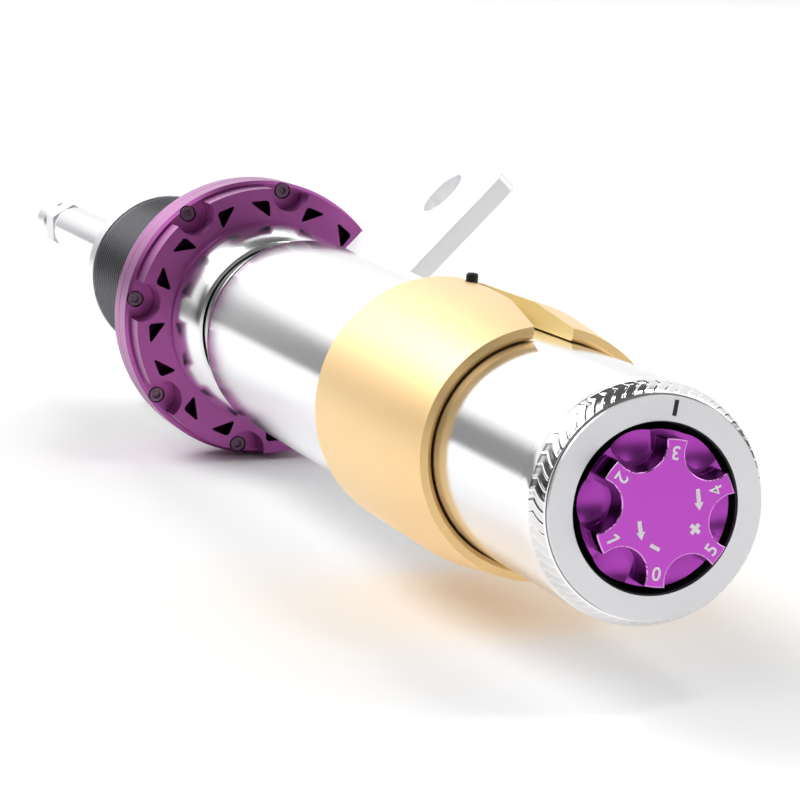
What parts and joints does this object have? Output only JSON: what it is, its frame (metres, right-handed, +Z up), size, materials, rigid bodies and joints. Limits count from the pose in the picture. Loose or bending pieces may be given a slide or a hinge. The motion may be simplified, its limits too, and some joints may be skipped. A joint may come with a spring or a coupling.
{
  "type": "coilover strut",
  "caption": "Front suspension strut damper with height-adjustable spring perch, numbered bump adjuster wheel, clamp sleeve and drop-link bracket; no spring or top mount.",
  "frame": {"origin": "on the strut's axis, at the middle of the gold sleeve that the wheel carrier clamps", "axes": "+Y along the strut from the adjuster wheel to the threaded rod end, +Z up with the sleeve's slot near the top, +X to the side the link bracket leans to"},
  "size_m": [0.0805, 0.5559, 0.0791],
  "materials": {
    "polished_steel": "polished stainless with faint circumferential brushing",
    "satin_aluminium": "fine turned satin",
    "magenta_anodised": "gloss anodised, milled",
    "seal_rubber": "matte moulded rubber",
    "spring_steel": "hardened, dark oiled",
    "plain_steel": "machined",
    "band_plastic": "filled low-friction plastic",
    "rod_chrome": "hard chrome, ground",
    "knob_white": "bright silver anodised",
    "gold_anodised": "satin gold anodised",
    "black_steel": "black oxide",
    "zinc_white": "pale zinc, satin",
    "dark_thread": "dark anodised thread",
    "purple_anodised": "satin purple anodised"
  },
  "bodies": {
    "strut": {"strut_tube": "polished_steel", "end_plug": "satin_aluminium", "knob_snap_ring": "spring_steel", "detent_ball": "polished_steel", "detent_spring": "spring_steel", "base_valve_body": "plain_steel", "base_valve_shims": "spring_steel", "base_valve_bolt": "plain_steel", "base_valve_nut": "plain_steel", "pressure_tube": "plain_steel", "rod_guide": "plain_steel", "rod_bush": "spring_steel", "rod_seal": "seal_rubber", "rod_wiper": "seal_rubber", "end_cap": "satin_aluminium", "clamp_sleeve": "gold_anodised", "locating_pin": "black_steel", "link_bracket": "zinc_white", "perch_stop_ring": "polished_steel", "thread_sleeve": "dark_thread"},
    "bump_adjuster": {"bump_knob": "magenta_anodised", "knob_seal": "seal_rubber", "bump_spindle": "plain_steel"},
    "needle": {"bump_needle": "plain_steel"},
    "rod": {"piston_rod": "rod_chrome", "piston": "plain_steel", "piston_band": "band_plastic", "rebound_shims": "spring_steel", "compression_shims": "spring_steel", "piston_nut": "plain_steel", "backing_plate": "plain_steel", "top_out_bumper": "seal_rubber", "top_washer": "satin_aluminium", "top_nut": "satin_aluminium"},
    "rebound_adjuster": {"rebound_knob": "knob_white", "rebound_rod": "plain_steel"},
    "perch": {"spring_seat": "purple_anodised", "spring_locator": "purple_anodised", "seat_screw_1": "plain_steel", "seat_screw_2": "plain_steel", "seat_screw_3": "plain_steel", "seat_screw_4": "plain_steel", "seat_screw_5": "plain_steel", "seat_screw_6": "plain_steel", "seat_screw_7": "plain_steel", "seat_screw_8": "plain_steel"},
    "lock_ring": {"adjusting_ring": "purple_anodised", "ring_lock_screw": "black_steel"}
  },
  "joints": [
    {"name": "bump_knob_turn", "type": "hinge", "parent": "strut", "child": "bump_adjuster", "pos_m": [0, -0.09, 0], "axis": [0, -1, 0], "range_deg": [-180, 120]},
    {"name": "needle_slide", "type": "slide", "parent": "bump_adjuster", "child": "needle", "axis": [0, 1, 0], "range_m": [-0.00076, 0.00051]},
    {"name": "rod_slide", "type": "slide", "parent": "strut", "child": "rod", "axis": [0, -1, 0], "range_m": [0, 0.11]},
    {"name": "rebound_knob_turn", "type": "hinge", "parent": "rod", "child": "rebound_adjuster", "pos_m": [0, 0.45, 0], "axis": [0, 1, 0], "range_deg": [-360, 360]},
    {"name": "perch_slide", "type": "slide", "parent": "strut", "child": "perch", "axis": [0, 1, 0], "range_m": [0, 0.0701]},
    {"name": "ring_turn", "type": "hinge", "parent": "perch", "child": "lock_ring", "pos_m": [0, 0.178, 0], "axis": [0, 1, 0], "range_deg": [0, 10080]}
  ],
  "couplings": [
    {"joint": "needle_slide", "follows": "bump_knob_turn", "m_per_rad": 0.00023873},
    {"joint": "perch_slide", "follows": "ring_turn", "m_per_rad": 0.00039789}
  ]
}
